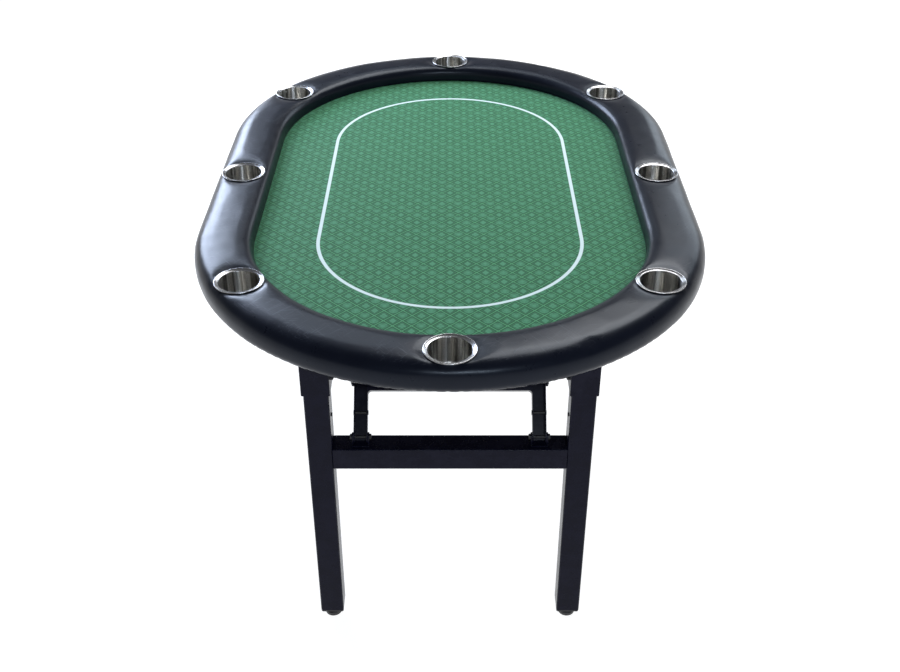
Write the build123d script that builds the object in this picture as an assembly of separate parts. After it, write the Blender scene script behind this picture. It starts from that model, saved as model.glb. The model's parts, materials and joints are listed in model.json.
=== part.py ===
from build123d import *
import os
from math import atan2, cos, degrees, hypot, radians, sin

# A folding poker table. Millimetres, +Z up. The origin is on the floor under the table's centre,
# the table's length runs along Y, and its near end is at -Y.
# Every plan outline is two half circles, about (0, +-STRAIGHT_HALF), joined by straight sides,
# so a radius below is measured from those two centres, or from the long centre line between them.

# Driving dimensions
STRAIGHT_HALF = 260.0
RAIL_OUTER_RADIUS = 552.0
RAIL_INNER_RADIUS = 427.0
RAIL_TOP = 762.0
CLOTH_TOP = 727.0
DECK_TOP = 720.0
DECK_THICKNESS = 18.0
CUP_LIP_DIAMETER = 101.6
LEG_PIVOT = (-667.0, 642.0)  # (y, z) of the near leg frame's fold axis
POST_WIDTH = 50.0
POST_CENTRE_X = 261.0
BRACE_LOW_PIVOT = (-667.0, 494.0)  # (y, z) where the brace is pinned to the near crossbar
BRACE_TOP_PIVOT = (-492.0, 682.0)  # (y, z) where the brace hangs from the deck
BRACE_ARM_LENGTH = 113.5  # pivot to knee
BRACE_CENTRE_X = 180.0

# Top
DECK_RADIUS = 535.0
DECK_BOTTOM = DECK_TOP - DECK_THICKNESS
DECK_EDGE_ROUND = 8.0
PLAYFIELD_RADIUS = 440.5
CLOTH_THICKNESS = 1.0
COVER_THICKNESS = 1.2
COVER_LIP_GAP = 0.3
COVER_TAIL_RADIUS = 524.0
CORE_INNER_RADIUS = 441.0
CORE_OUTER_RADIUS = 537.0
CORE_THICKNESS = 18.0
RAIL_INNER_LEAN = 4.0
RAIL_INNER_ROUND = 18.0
RAIL_SHOULDER_ROUND = 30.0
RAIL_UNDER_ROUND = 20.0
FOAM_BOTTOM = 706.0

# Cup holders
CUP_PATH_RADIUS = 489.0
CUP_CORNER_ANGLE = 30.0
CUP_BODY_RADIUS = 42.5
CUP_WALL = 0.8
CUP_BOTTOM = 702.6
CUP_FOOT_ROUND = 5.0
CUP_HOLE_RADIUS = 43.0
CUP_BEAD_RADIUS = 1.2
CUP_FLANGE_THICKNESS = 1.0

# Rail screws, between the cups
RAIL_SCREW_END_ANGLE = 75.0
RAIL_SCREW_TOP = 732.0

# Screws, one size for all the steelwork
SCREW_RADIUS = 2.2
SCREW_HEAD_RADIUS = 4.2
SCREW_HEAD_HEIGHT = 2.2
SCREW_LENGTH = 14.0
HEAD_ROUND_SHARE = 0.6  # of a head's height

# Leg brackets
BRACKET_WALL = 3.0
BRACKET_GAP = 0.5
BRACKET_BOTTOM = 616.0
BRACKET_BACK = -638.0
BRACKET_PLATE_INNER_X = 205.0
BRACKET_PLATE_BACK = -620.0
BRACKET_BEND = 3.0
LEG_SCREW_INNER_X = 217.0
LEG_SCREW_FRONT = -683.0
LEG_SCREW_BACK = -631.0

# Pivot bolts
BOLT_RADIUS = 3.0
RUNNING_GAP = 0.06
BOLT_HEAD_RADIUS = 6.5
BOLT_HEAD_HEIGHT = 2.6
NUT_ACROSS_FLATS = 10.0
NUT_THICKNESS = 5.0
BOLT_TAIL = 1.5
SLEEVE_RADIUS = 6.0

# Leg frames
TUBE_WALL = 2.0
POST_CORNER = 4.5
POST_BOTTOM = 24.0
CROSSBAR_BOTTOM = 430.0
CROSSBAR_TOP = 480.0
CROSSBAR_CORNER = 3.0
PLUG_FLANGE = 4.0
PLUG_MARGIN = 0.5
PLUG_DEPTH = 20.0
PLUG_SIDE_GAP = 0.1
POST_SCREW_Z = 551.0

# Levelling feet
FOOT_RADIUS = 18.0
FOOT_BASE_HEIGHT = 9.0
FOOT_EDGE_ROUND = 3.0
FOOT_HUB_RADIUS = 12.0
FOOT_NECK_RADIUS = 8.0
FOOT_HUB_TOP = 19.4
STUD_RADIUS = 5.0
STUD_TOP = 58.0
THREAD_GAP = 0.05

# Braces
ARM_WIDTH = 28.0
ARM_DEPTH = 22.0
ARM_RIVET_AT = 49.0
ARM_RIVET_RADIUS = 3.0
RIVET_HEAD_RADIUS = 5.0
RIVET_HEAD_HEIGHT = 1.2
CROSS_TUBE_AT = 104.0
CROSS_TUBE_SIZE = 22.0
CROSS_TUBE_FLARE = 7.0
EAR_THICKNESS = 3.0
EAR_GAP = 0.5
EAR_RADIUS = 9.5
EAR_PLATE_THICKNESS = 2.5
EAR_PLATE_HALF_Y = 16.0
BRACE_PIN_HEAD_RADIUS = 6.5
BRACE_PIN_HEAD_HEIGHT = 4.0
LINK_WIDTH = 22.0
LINK_THICKNESS = 5.0
LINK_GAP = 0.4
KNEE_RIVET_RADIUS = 4.0
KNEE_HEAD_RADIUS = 7.0
KNEE_HEAD_HEIGHT = 2.2
KNEE_STUB_LENGTH = 14.0
TOP_EAR_RADIUS = 12.0
TOP_PLATE_HALF_X = 20.0
TOP_PLATE_HALF_Y = 24.0
TOP_SCREW_X = 14.0
TOP_SCREW_Y = 17.5

# How far a cutting shape runs past what it cuts
OVERCUT = 10.0

# Worked out from the above
BRACE_RISE = BRACE_TOP_PIVOT[1] - BRACE_LOW_PIVOT[1]
BRACE_RUN = BRACE_TOP_PIVOT[0] - BRACE_LOW_PIVOT[0]
BRACE_ANGLE = degrees(atan2(BRACE_RISE, BRACE_RUN))
LINK_LENGTH = hypot(BRACE_RUN, BRACE_RISE) - BRACE_ARM_LENGTH
POST_INNER_X = POST_CENTRE_X - POST_WIDTH / 2
POST_OUTER_X = POST_CENTRE_X + POST_WIDTH / 2
POST_FRONT = LEG_PIVOT[0] - POST_WIDTH / 2
POST_BACK = LEG_PIVOT[0] + POST_WIDTH / 2
LINK_CENTRE_X = BRACE_CENTRE_X + ARM_WIDTH / 2 + LINK_GAP + LINK_THICKNESS / 2
# X ranges for holes drilled right through the post, the brace's arm and its link
PAST_POST = (POST_INNER_X - OVERCUT, POST_OUTER_X + OVERCUT)
PAST_ARM = (BRACE_CENTRE_X - ARM_WIDTH / 2 - OVERCUT, BRACE_CENTRE_X + ARM_WIDTH / 2 + OVERCUT)
PAST_LINK = (LINK_CENTRE_X - LINK_THICKNESS / 2 - OVERCUT, LINK_CENTRE_X + LINK_THICKNESS / 2 + OVERCUT)


def outline(radius):
    """The table's plan shape at a radius."""
    return SlotCenterToCenter(2 * STRAIGHT_HALF, 2 * radius, rotation=90)


def slab(radius, bottom, top):
    """A level panel of the table's plan shape."""
    return extrude(Pos(0, 0, bottom) * outline(radius), amount=top - bottom)


def block(x, y, z):
    """A box from its (low, high) range on each axis."""
    size = [high - low for low, high in (x, y, z)]
    return Pos(x[0], y[0], z[0]) * Box(*size, align=(Align.MIN, Align.MIN, Align.MIN))


def post_at(x, y, radius, bottom, top):
    """An upright cylinder."""
    base = (Align.CENTER, Align.CENTER, Align.MIN)
    return Pos(x, y, bottom) * Cylinder(radius, top - bottom, align=base)


def rod_along_x(point, radius, low, high):
    """A cylinder along X through a (y, z) point."""
    base = (Align.CENTER, Align.CENTER, Align.MIN)
    return Pos(low, *point) * Rot(0, 90, 0) * Cylinder(radius, high - low, align=base)


def round_corner(sketch, x, y, radius):
    """Round the corner of a sketch that is nearest to (x, y)."""
    corner = sketch.vertices().sort_by_distance((x, y, 0))[0]
    return fillet(corner, radius)


def carried_round(section):
    """Carry a section, drawn as (radius, height), once round the table's plan."""
    start = Pos(0, STRAIGHT_HALF, 0) * (Plane.XZ * section)
    side = extrude(start, amount=2 * STRAIGHT_HALF, dir=(0, -1, 0))
    end = revolve(start, axis=Axis((0, STRAIGHT_HALF, 0), (0, 0, 1)), revolution_arc=180)
    half = side + end
    return half + Rot(0, 0, 180) * half


def four_ways(piece):
    """The near right piece and its three mirror images, named by end and side."""
    left = mirror(piece, about=Plane.YZ)
    return {
        "near_right": piece,
        "near_left": left,
        "far_right": mirror(piece, about=Plane.XZ),
        "far_left": mirror(left, about=Plane.XZ),
    }


def group(pieces):
    """Separate solids that share a node."""
    return Compound(children=[solid for piece in pieces for solid in piece.solids()])


# ---- The padded top ----


def rail_region(inset):
    """Everything inside the rail's skin, at a depth below its surface, down to the deck's parts."""
    low_r = RAIL_INNER_RADIUS + inset
    high_r = RAIL_OUTER_RADIUS - inset
    top = RAIL_TOP - inset
    lip = CLOTH_TOP + COVER_LIP_GAP + inset
    under = DECK_BOTTOM - COVER_THICKNESS + inset
    region = Polygon(
        (low_r, lip),
        (low_r + RAIL_INNER_LEAN, top),
        (high_r, top),
        (high_r, under),
        (COVER_TAIL_RADIUS, under),
        (COVER_TAIL_RADIUS, DECK_TOP),
        (CORE_INNER_RADIUS, DECK_TOP),
        (CORE_INNER_RADIUS, lip),
        align=None,
    )
    region = round_corner(region, low_r + RAIL_INNER_LEAN, top, RAIL_INNER_ROUND - inset)
    region = round_corner(region, high_r, top, RAIL_SHOULDER_ROUND - inset)
    return round_corner(region, high_r, under, RAIL_UNDER_ROUND - inset)


def cup_places():
    """Plan places of the eight cups: each end, each side, and four corners."""
    corner = radians(CUP_CORNER_ANGLE)
    corner_x = CUP_PATH_RADIUS * cos(corner)
    corner_y = STRAIGHT_HALF + CUP_PATH_RADIUS * sin(corner)
    end_y = STRAIGHT_HALF + CUP_PATH_RADIUS
    return [
        (0, -end_y),
        (corner_x, -corner_y),
        (CUP_PATH_RADIUS, 0),
        (corner_x, corner_y),
        (0, end_y),
        (-corner_x, corner_y),
        (-CUP_PATH_RADIUS, 0),
        (-corner_x, -corner_y),
    ]


def rail_screw_places():
    """Plan places of the screws that hold the rail's core: on the sides and near the end cups."""
    angle = radians(RAIL_SCREW_END_ANGLE)
    quarter = [
        (CUP_PATH_RADIUS, STRAIGHT_HALF / 2),
        (CUP_PATH_RADIUS * cos(angle), STRAIGHT_HALF + CUP_PATH_RADIUS * sin(angle)),
    ]
    return [(across * x, along * y) for x, y in quarter for across in (1, -1) for along in (1, -1)]


def cup_holes():
    """Plugs of the size of the cups' holes, through the whole top."""
    bottom, top = DECK_BOTTOM - OVERCUT, RAIL_TOP + OVERCUT
    return [post_at(x, y, CUP_HOLE_RADIUS, bottom, top) for x, y in cup_places()]


def screw_up(x, y, seat):
    """A pan-head screw driven upwards, with its head under a plate at the seat height."""
    head = post_at(x, y, SCREW_HEAD_RADIUS, seat - SCREW_HEAD_HEIGHT, seat)
    head = fillet(head.edges().group_by(Axis.Z)[0], SCREW_HEAD_HEIGHT * HEAD_ROUND_SHARE)
    return head + post_at(x, y, SCREW_RADIUS, seat, seat + SCREW_LENGTH)


def leg_bracket_screw_places():
    return [(x, y) for x in (LEG_SCREW_INNER_X, POST_CENTRE_X) for y in (LEG_SCREW_FRONT, LEG_SCREW_BACK)]


def brace_top_screw_places():
    y = BRACE_TOP_PIVOT[0]
    return [(LINK_CENTRE_X + dx, y + dy) for dx in (-TOP_SCREW_X, TOP_SCREW_X)
            for dy in (-TOP_SCREW_Y, TOP_SCREW_Y)]


def rail_screws():
    screws = []
    for x, y in rail_screw_places():
        screw = screw_up(x, y, DECK_BOTTOM)
        screws.append(screw + post_at(x, y, SCREW_RADIUS, DECK_BOTTOM, RAIL_SCREW_TOP))
    return screws


def deck():
    panel = slab(DECK_RADIUS, DECK_BOTTOM, DECK_TOP)
    panel = fillet(panel.edges().group_by(Axis.Z)[0], DECK_EDGE_ROUND)
    panel -= cup_holes()
    plate_top = DECK_BOTTOM - BRACKET_WALL + SCREW_LENGTH
    for x, y in leg_bracket_screw_places() + brace_top_screw_places():
        pilot = post_at(x, y, SCREW_RADIUS, DECK_BOTTOM, plate_top)
        panel -= list(four_ways(pilot).values())
    for x, y in rail_screw_places():
        panel -= post_at(x, y, SCREW_RADIUS, DECK_BOTTOM, DECK_TOP)
    return panel


def playfield_pad():
    return slab(PLAYFIELD_RADIUS, DECK_TOP, CLOTH_TOP - CLOTH_THICKNESS)


def speed_cloth():
    return slab(PLAYFIELD_RADIUS, CLOTH_TOP - CLOTH_THICKNESS, CLOTH_TOP)


def rail_core():
    ring = slab(CORE_OUTER_RADIUS, DECK_TOP, DECK_TOP + CORE_THICKNESS)
    ring -= slab(CORE_INNER_RADIUS, DECK_TOP, DECK_TOP + CORE_THICKNESS)
    ring -= cup_holes()
    for x, y in rail_screw_places():
        ring -= post_at(x, y, SCREW_RADIUS, DECK_TOP, RAIL_SCREW_TOP)
    return ring


def rail_foam():
    core = Polygon(
        (CORE_INNER_RADIUS, DECK_TOP),
        (CORE_OUTER_RADIUS, DECK_TOP),
        (CORE_OUTER_RADIUS, DECK_TOP + CORE_THICKNESS),
        (CORE_INNER_RADIUS, DECK_TOP + CORE_THICKNESS),
        align=None,
    )
    panel = Polygon(
        (CORE_INNER_RADIUS, DECK_BOTTOM),
        (DECK_RADIUS, DECK_BOTTOM),
        (DECK_RADIUS, DECK_TOP),
        (CORE_INNER_RADIUS, DECK_TOP),
        align=None,
    )
    panel = round_corner(panel, DECK_RADIUS, DECK_BOTTOM, DECK_EDGE_ROUND)
    below = Polygon(
        (CORE_INNER_RADIUS, DECK_BOTTOM - OVERCUT),
        (RAIL_OUTER_RADIUS, DECK_BOTTOM - OVERCUT),
        (RAIL_OUTER_RADIUS, FOAM_BOTTOM),
        (CORE_INNER_RADIUS, FOAM_BOTTOM),
        align=None,
    )
    section = rail_region(COVER_THICKNESS) - core - panel - below
    return carried_round(section) - cup_holes()


def rail_cover():
    section = rail_region(0) - rail_region(COVER_THICKNESS)
    return carried_round(section) - cup_holes()


def cup_holder(x, y):
    """A pressed cup with a flat flange and a rolled lip that rests on the rail."""
    shell = post_at(x, y, CUP_BODY_RADIUS, CUP_BOTTOM, RAIL_TOP + CUP_FLANGE_THICKNESS)
    shell = fillet(shell.edges().group_by(Axis.Z)[0], CUP_FOOT_ROUND)
    lip_radius = CUP_LIP_DIAMETER / 2 - CUP_BEAD_RADIUS
    flange = post_at(x, y, lip_radius, RAIL_TOP + CUP_BEAD_RADIUS / 2,
                     RAIL_TOP + CUP_BEAD_RADIUS / 2 + CUP_FLANGE_THICKNESS)
    bead = Pos(x, y, RAIL_TOP + CUP_BEAD_RADIUS) * Torus(lip_radius, CUP_BEAD_RADIUS)
    hollow = post_at(x, y, CUP_BODY_RADIUS - CUP_WALL, CUP_BOTTOM + CUP_WALL, RAIL_TOP + OVERCUT)
    hollow = fillet(hollow.edges().group_by(Axis.Z)[0], CUP_FOOT_ROUND - CUP_WALL)
    return shell + flange + bead - hollow


# ---- Leg brackets and pivots, drawn for the near right leg ----


def leg_bracket():
    """A folded channel round the post's top, open towards the table's middle."""
    inside_x = (POST_INNER_X - BRACKET_GAP, POST_OUTER_X + BRACKET_GAP)
    outside_x = (inside_x[0] - BRACKET_WALL, inside_x[1] + BRACKET_WALL)
    front = POST_FRONT - BRACKET_GAP - BRACKET_WALL
    channel = block(outside_x, (front, BRACKET_BACK), (BRACKET_BOTTOM, DECK_BOTTOM))
    upright = channel.edges().filter_by(Axis.Z).group_by(Axis.Y)[0]
    channel = fillet(upright, BRACKET_BEND)
    channel -= block(inside_x, (front + BRACKET_WALL, BRACKET_BACK),
                     (BRACKET_BOTTOM, DECK_BOTTOM - BRACKET_WALL))
    plate = block((BRACKET_PLATE_INNER_X, outside_x[1]), (front + BRACKET_BEND, BRACKET_PLATE_BACK),
                  (DECK_BOTTOM - BRACKET_WALL, DECK_BOTTOM))
    bracket = channel + plate - rod_along_x(LEG_PIVOT, BOLT_RADIUS, *PAST_POST)
    for x, y in leg_bracket_screw_places():
        bracket -= post_at(x, y, SCREW_RADIUS, DECK_BOTTOM - BRACKET_WALL, DECK_BOTTOM)
    return bracket


def leg_pivot_bolt():
    outer = POST_OUTER_X + BRACKET_GAP + BRACKET_WALL
    inner = POST_INNER_X - BRACKET_GAP - BRACKET_WALL - NUT_THICKNESS - BOLT_TAIL
    head = rod_along_x(LEG_PIVOT, BOLT_HEAD_RADIUS, outer, outer + BOLT_HEAD_HEIGHT)
    head = fillet(head.edges().group_by(Axis.X)[-1], BOLT_HEAD_HEIGHT * HEAD_ROUND_SHARE)
    return head + rod_along_x(LEG_PIVOT, BOLT_RADIUS, inner, outer)


def leg_pivot_nut():
    seat = POST_INNER_X - BRACKET_GAP - BRACKET_WALL
    hexagon = RegularPolygon(NUT_ACROSS_FLATS / 2, 6, major_radius=False)
    face = Plane(origin=(seat, *LEG_PIVOT), x_dir=(0, 1, 0), z_dir=(-1, 0, 0))
    nut = extrude(face * hexagon, amount=NUT_THICKNESS)
    return nut - rod_along_x(LEG_PIVOT, BOLT_RADIUS, *PAST_POST)


def leg_bracket_screws():
    return [screw_up(x, y, DECK_BOTTOM - BRACKET_WALL) for x, y in leg_bracket_screw_places()]


# ---- Leg frame, drawn for the near end ----


def post():
    """The right post: a square tube whose top is rounded about the pivot."""
    half = POST_WIDTH / 2
    tube = block((POST_INNER_X, POST_OUTER_X), (POST_FRONT, POST_BACK), (POST_BOTTOM, LEG_PIVOT[1]))
    tube = fillet(tube.edges().filter_by(Axis.Z), POST_CORNER)
    tube += rod_along_x(LEG_PIVOT, half, POST_INNER_X, POST_OUTER_X)
    wall = TUBE_WALL
    tube -= block((POST_INNER_X + wall, POST_OUTER_X - wall), (POST_FRONT + wall, POST_BACK - wall),
                  (POST_BOTTOM, LEG_PIVOT[1] + half))
    tube -= rod_along_x(LEG_PIVOT, BOLT_RADIUS + RUNNING_GAP, *PAST_POST)
    return tube - rod_along_x((LEG_PIVOT[0], POST_SCREW_Z), SCREW_RADIUS, PAST_POST[0], POST_CENTRE_X)


def pivot_sleeve():
    low, high = POST_INNER_X + TUBE_WALL, POST_OUTER_X - TUBE_WALL
    sleeve = rod_along_x(LEG_PIVOT, SLEEVE_RADIUS, low, high)
    return sleeve - rod_along_x(LEG_PIVOT, BOLT_RADIUS + RUNNING_GAP, low, high)


def end_plug():
    """A plastic plug pressed in the post's bottom, with the foot's thread through it."""
    half = POST_WIDTH / 2
    y = LEG_PIVOT[0]
    edge = half - PLUG_MARGIN
    flange = block((POST_CENTRE_X - edge, POST_CENTRE_X + edge), (y - edge, y + edge),
                   (POST_BOTTOM - PLUG_FLANGE, POST_BOTTOM))
    flange = fillet(flange.edges().filter_by(Axis.Z), POST_CORNER)
    inside = half - TUBE_WALL - PLUG_SIDE_GAP
    body = block((POST_CENTRE_X - inside, POST_CENTRE_X + inside), (y - inside, y + inside),
                 (POST_BOTTOM, POST_BOTTOM + PLUG_DEPTH))
    return flange + body - post_at(POST_CENTRE_X, y, STUD_RADIUS + THREAD_GAP, 0, STUD_TOP)


def levelling_foot():
    x, y = POST_CENTRE_X, LEG_PIVOT[0]
    base = post_at(x, y, FOOT_RADIUS, 0, FOOT_BASE_HEIGHT)
    base = fillet(base.edges().group_by(Axis.Z)[-1], FOOT_EDGE_ROUND)
    hub_height = FOOT_HUB_TOP - FOOT_BASE_HEIGHT
    hub = Pos(x, y, FOOT_BASE_HEIGHT) * Cone(FOOT_HUB_RADIUS, FOOT_NECK_RADIUS, hub_height,
                                             align=(Align.CENTER, Align.CENTER, Align.MIN))
    return base + hub + post_at(x, y, STUD_RADIUS, FOOT_BASE_HEIGHT, STUD_TOP)


def crossbar():
    """A square tube welded between the posts, flush with their fronts."""
    bar = block((-POST_INNER_X, POST_INNER_X), (POST_FRONT, POST_BACK), (CROSSBAR_BOTTOM, CROSSBAR_TOP))
    bar = fillet(bar.edges().filter_by(Axis.X), CROSSBAR_CORNER)
    wall = TUBE_WALL
    return bar - block((-POST_INNER_X, POST_INNER_X), (POST_FRONT + wall, POST_BACK - wall),
                       (CROSSBAR_BOTTOM + wall, CROSSBAR_TOP - wall))


def crossbar_bracket():
    """A plate welded on the crossbar, with an ear each side of the brace's arm."""
    y, z = BRACE_LOW_PIVOT
    inner = ARM_WIDTH / 2 + EAR_GAP
    outer = inner + EAR_THICKNESS
    bracket = block((BRACE_CENTRE_X - outer, BRACE_CENTRE_X + outer),
                    (y - EAR_PLATE_HALF_Y, y + EAR_PLATE_HALF_Y),
                    (CROSSBAR_TOP, CROSSBAR_TOP + EAR_PLATE_THICKNESS))
    for low in (BRACE_CENTRE_X - inner - EAR_THICKNESS, BRACE_CENTRE_X + inner):
        high = low + EAR_THICKNESS
        bracket += block((low, high), (y - EAR_RADIUS, y + EAR_RADIUS), (CROSSBAR_TOP, z))
        bracket += rod_along_x((y, z), EAR_RADIUS, low, high)
    return bracket - rod_along_x((y, z), BOLT_RADIUS, *PAST_ARM)


def post_screw():
    """A pan-head screw in the post's inner side."""
    place = (LEG_PIVOT[0], POST_SCREW_Z)
    head = rod_along_x(place, SCREW_HEAD_RADIUS, POST_INNER_X - SCREW_HEAD_HEIGHT, POST_INNER_X)
    head = fillet(head.edges().group_by(Axis.X)[0], SCREW_HEAD_HEIGHT * HEAD_ROUND_SHARE)
    return head + rod_along_x(place, SCREW_RADIUS, POST_INNER_X, POST_INNER_X + SCREW_LENGTH)


def headed_pin(point, radius, head_radius, head_height, low, high):
    """A pin along X whose two ends are riveted over."""
    pin = rod_along_x(point, radius, low, high)
    pin += rod_along_x(point, head_radius, low - head_height, low)
    return pin + rod_along_x(point, head_radius, high, high + head_height)


def brace_pin():
    reach = ARM_WIDTH / 2 + EAR_GAP + EAR_THICKNESS
    return headed_pin(BRACE_LOW_PIVOT, BOLT_RADIUS, BRACE_PIN_HEAD_RADIUS, BRACE_PIN_HEAD_HEIGHT,
                      BRACE_CENTRE_X - reach, BRACE_CENTRE_X + reach)


# ---- Braces, drawn for the near right arm and link ----


def along_brace(distance):
    """The (y, z) point on the straight brace, at a distance from its lower pivot."""
    angle = radians(BRACE_ANGLE)
    return (BRACE_LOW_PIVOT[0] + distance * cos(angle), BRACE_LOW_PIVOT[1] + distance * sin(angle))


def brace_plane(distance, x):
    """A plane across X whose own x runs up the brace."""
    angle = radians(BRACE_ANGLE)
    y, z = along_brace(distance)
    return Plane(origin=(x, y, z), x_dir=(0, cos(angle), sin(angle)), z_dir=(1, 0, 0))


def brace_arm():
    """A channel with round ends, open on its upper side, from the crossbar's pin to the knee."""
    low = BRACE_CENTRE_X - ARM_WIDTH / 2
    middle = brace_plane(BRACE_ARM_LENGTH / 2, low)
    arm = extrude(middle * SlotCenterToCenter(BRACE_ARM_LENGTH, ARM_DEPTH), amount=ARM_WIDTH)
    hollow = Pos(0, TUBE_WALL) * Rectangle(BRACE_ARM_LENGTH + 2 * ARM_DEPTH, ARM_DEPTH)
    inside = brace_plane(BRACE_ARM_LENGTH / 2, low + TUBE_WALL)
    arm -= extrude(inside * hollow, amount=ARM_WIDTH - 2 * TUBE_WALL)
    arm -= rod_along_x(BRACE_LOW_PIVOT, BOLT_RADIUS + RUNNING_GAP, *PAST_ARM)
    arm -= rod_along_x(along_brace(ARM_RIVET_AT), ARM_RIVET_RADIUS, *PAST_ARM)
    knee = along_brace(BRACE_ARM_LENGTH)
    return arm - rod_along_x(knee, KNEE_RIVET_RADIUS, BRACE_CENTRE_X, PAST_ARM[1])


def arm_rivets():
    """The rivet across the arm, and the knee rivet's end in the arm's outer wall."""
    reach = ARM_WIDTH / 2
    rivet = headed_pin(along_brace(ARM_RIVET_AT), ARM_RIVET_RADIUS, RIVET_HEAD_RADIUS,
                       RIVET_HEAD_HEIGHT, BRACE_CENTRE_X - reach, BRACE_CENTRE_X + reach)
    outer = BRACE_CENTRE_X + reach
    stub = rod_along_x(along_brace(BRACE_ARM_LENGTH), KNEE_RIVET_RADIUS, outer - KNEE_STUB_LENGTH, outer)
    return [rivet, stub]


def brace_cross_tube():
    """A square tube that joins the two arms, flared where it is welded to them."""
    reach = BRACE_CENTRE_X - ARM_WIDTH / 2
    size, flare = CROSS_TUBE_SIZE, CROSS_TUBE_FLARE
    # Sketch x runs along the table's X, and sketch y runs up the brace.
    angle = radians(BRACE_ANGLE)
    y, z = along_brace(CROSS_TUBE_AT)
    flat = Plane(origin=(0, y, z), x_dir=(1, 0, 0), z_dir=(0, -sin(angle), cos(angle)))
    shape = Rectangle(2 * reach, size)
    for side in (-1, 1):
        for edge in (-1, 1):
            corner = Pos(side * (reach - flare / 2), edge * (size + flare) / 2) * Rectangle(flare, flare)
            round_cut = Pos(side * (reach - flare), edge * (size / 2 + flare)) * Circle(flare)
            shape += corner - round_cut
    tube = extrude(flat * shape, amount=size / 2, both=True)
    bore = size - 2 * TUBE_WALL
    return tube - extrude(flat * Rectangle(2 * reach, bore), amount=bore / 2, both=True)


def upper_link():
    """A flat bar outside the arm, from the knee to the deck's bracket."""
    low = LINK_CENTRE_X - LINK_THICKNESS / 2
    middle = brace_plane(BRACE_ARM_LENGTH + LINK_LENGTH / 2, low)
    bar = extrude(middle * SlotCenterToCenter(LINK_LENGTH, LINK_WIDTH), amount=LINK_THICKNESS)
    bar -= rod_along_x(BRACE_TOP_PIVOT, BOLT_RADIUS + RUNNING_GAP, *PAST_LINK)
    return bar - rod_along_x(along_brace(BRACE_ARM_LENGTH), KNEE_RIVET_RADIUS, *PAST_LINK)


def knee_rivet():
    """The knee's rivet, up to the link's inner face."""
    knee = along_brace(BRACE_ARM_LENGTH)
    low, high = LINK_CENTRE_X - LINK_THICKNESS / 2, LINK_CENTRE_X + LINK_THICKNESS / 2
    head = rod_along_x(knee, KNEE_HEAD_RADIUS, high, high + KNEE_HEAD_HEIGHT)
    head = fillet(head.edges().group_by(Axis.X)[-1], KNEE_HEAD_HEIGHT * HEAD_ROUND_SHARE)
    return head + rod_along_x(knee, KNEE_RIVET_RADIUS, low, high)


def brace_top_bracket():
    """A plate under the deck with an ear each side of the upper link."""
    y, z = BRACE_TOP_PIVOT
    plate_bottom = DECK_BOTTOM - BRACKET_WALL
    bracket = block((LINK_CENTRE_X - TOP_PLATE_HALF_X, LINK_CENTRE_X + TOP_PLATE_HALF_X),
                    (y - TOP_PLATE_HALF_Y, y + TOP_PLATE_HALF_Y), (plate_bottom, DECK_BOTTOM))
    bracket = fillet(bracket.edges().filter_by(Axis.Z), EAR_THICKNESS)
    inner = LINK_THICKNESS / 2 + LINK_GAP
    for low in (LINK_CENTRE_X - inner - EAR_THICKNESS, LINK_CENTRE_X + inner):
        high = low + EAR_THICKNESS
        bracket += block((low, high), (y - TOP_EAR_RADIUS, y + TOP_EAR_RADIUS), (z, plate_bottom))
        bracket += rod_along_x((y, z), TOP_EAR_RADIUS, low, high)
    bracket -= rod_along_x((y, z), BOLT_RADIUS, *PAST_LINK)
    for x, screw_y in brace_top_screw_places():
        bracket -= post_at(x, screw_y, SCREW_RADIUS, plate_bottom, DECK_BOTTOM)
    return bracket


def brace_top_pin():
    reach = LINK_THICKNESS / 2 + LINK_GAP + EAR_THICKNESS
    return headed_pin(BRACE_TOP_PIVOT, BOLT_RADIUS, RIVET_HEAD_RADIUS, RIVET_HEAD_HEIGHT,
                      LINK_CENTRE_X - reach, LINK_CENTRE_X + reach)


def brace_top_screws():
    plate_bottom = DECK_BOTTOM - BRACKET_WALL
    return [screw_up(x, y, plate_bottom) for x, y in brace_top_screw_places()]


# ---- Assembly ----


def top_nodes():
    nodes = {
        "deck": deck(),
        "playfield_pad": playfield_pad(),
        "speed_cloth": speed_cloth(),
        "rail_core": rail_core(),
        "rail_foam": rail_foam(),
        "rail_cover": rail_cover(),
        "rail_screws": group(rail_screws()),
    }
    for number, (x, y) in enumerate(cup_places(), start=1):
        nodes[f"cup_holder_{number}"] = cup_holder(x, y)
    for place, bracket in four_ways(leg_bracket()).items():
        nodes[f"{place}_leg_bracket"] = bracket
    shared = {
        "leg_pivot_bolts": [leg_pivot_bolt()],
        "leg_pivot_nuts": [leg_pivot_nut()],
        "leg_bracket_screws": leg_bracket_screws(),
        "brace_top_brackets": [brace_top_bracket()],
        "brace_top_pins": [brace_top_pin()],
        "brace_top_screws": brace_top_screws(),
    }
    for name, pieces in shared.items():
        nodes[name] = group([copy for piece in pieces for copy in four_ways(piece).values()])
    return nodes


def frame_nodes():
    """The leg frames' and braces' nodes, for both ends."""
    nodes = {}
    single = {"post": post(), "foot": levelling_foot(), "brace_arm": brace_arm(), "upper_link": upper_link()}
    for name, piece in single.items():
        for place, copy in four_ways(piece).items():
            nodes[f"{place}_{name}"] = copy
    pairs = {
        "pivot_sleeves": [pivot_sleeve()],
        "end_plugs": [end_plug()],
        "crossbar_brackets": [crossbar_bracket()],
        "post_screws": [post_screw()],
        "brace_pins": [brace_pin()],
        "arm_rivets": arm_rivets(),
        "knee_rivets": [knee_rivet()],
    }
    for name, pieces in pairs.items():
        near = [copy for piece in pieces for copy in (piece, mirror(piece, about=Plane.YZ))]
        nodes[f"near_{name}"] = group(near)
        nodes[f"far_{name}"] = group([mirror(piece, about=Plane.XZ) for piece in near])
    for name, piece in {"crossbar": crossbar(), "brace_cross_tube": brace_cross_tube()}.items():
        nodes[f"near_{name}"] = piece
        nodes[f"far_{name}"] = mirror(piece, about=Plane.XZ)
    return nodes


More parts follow.
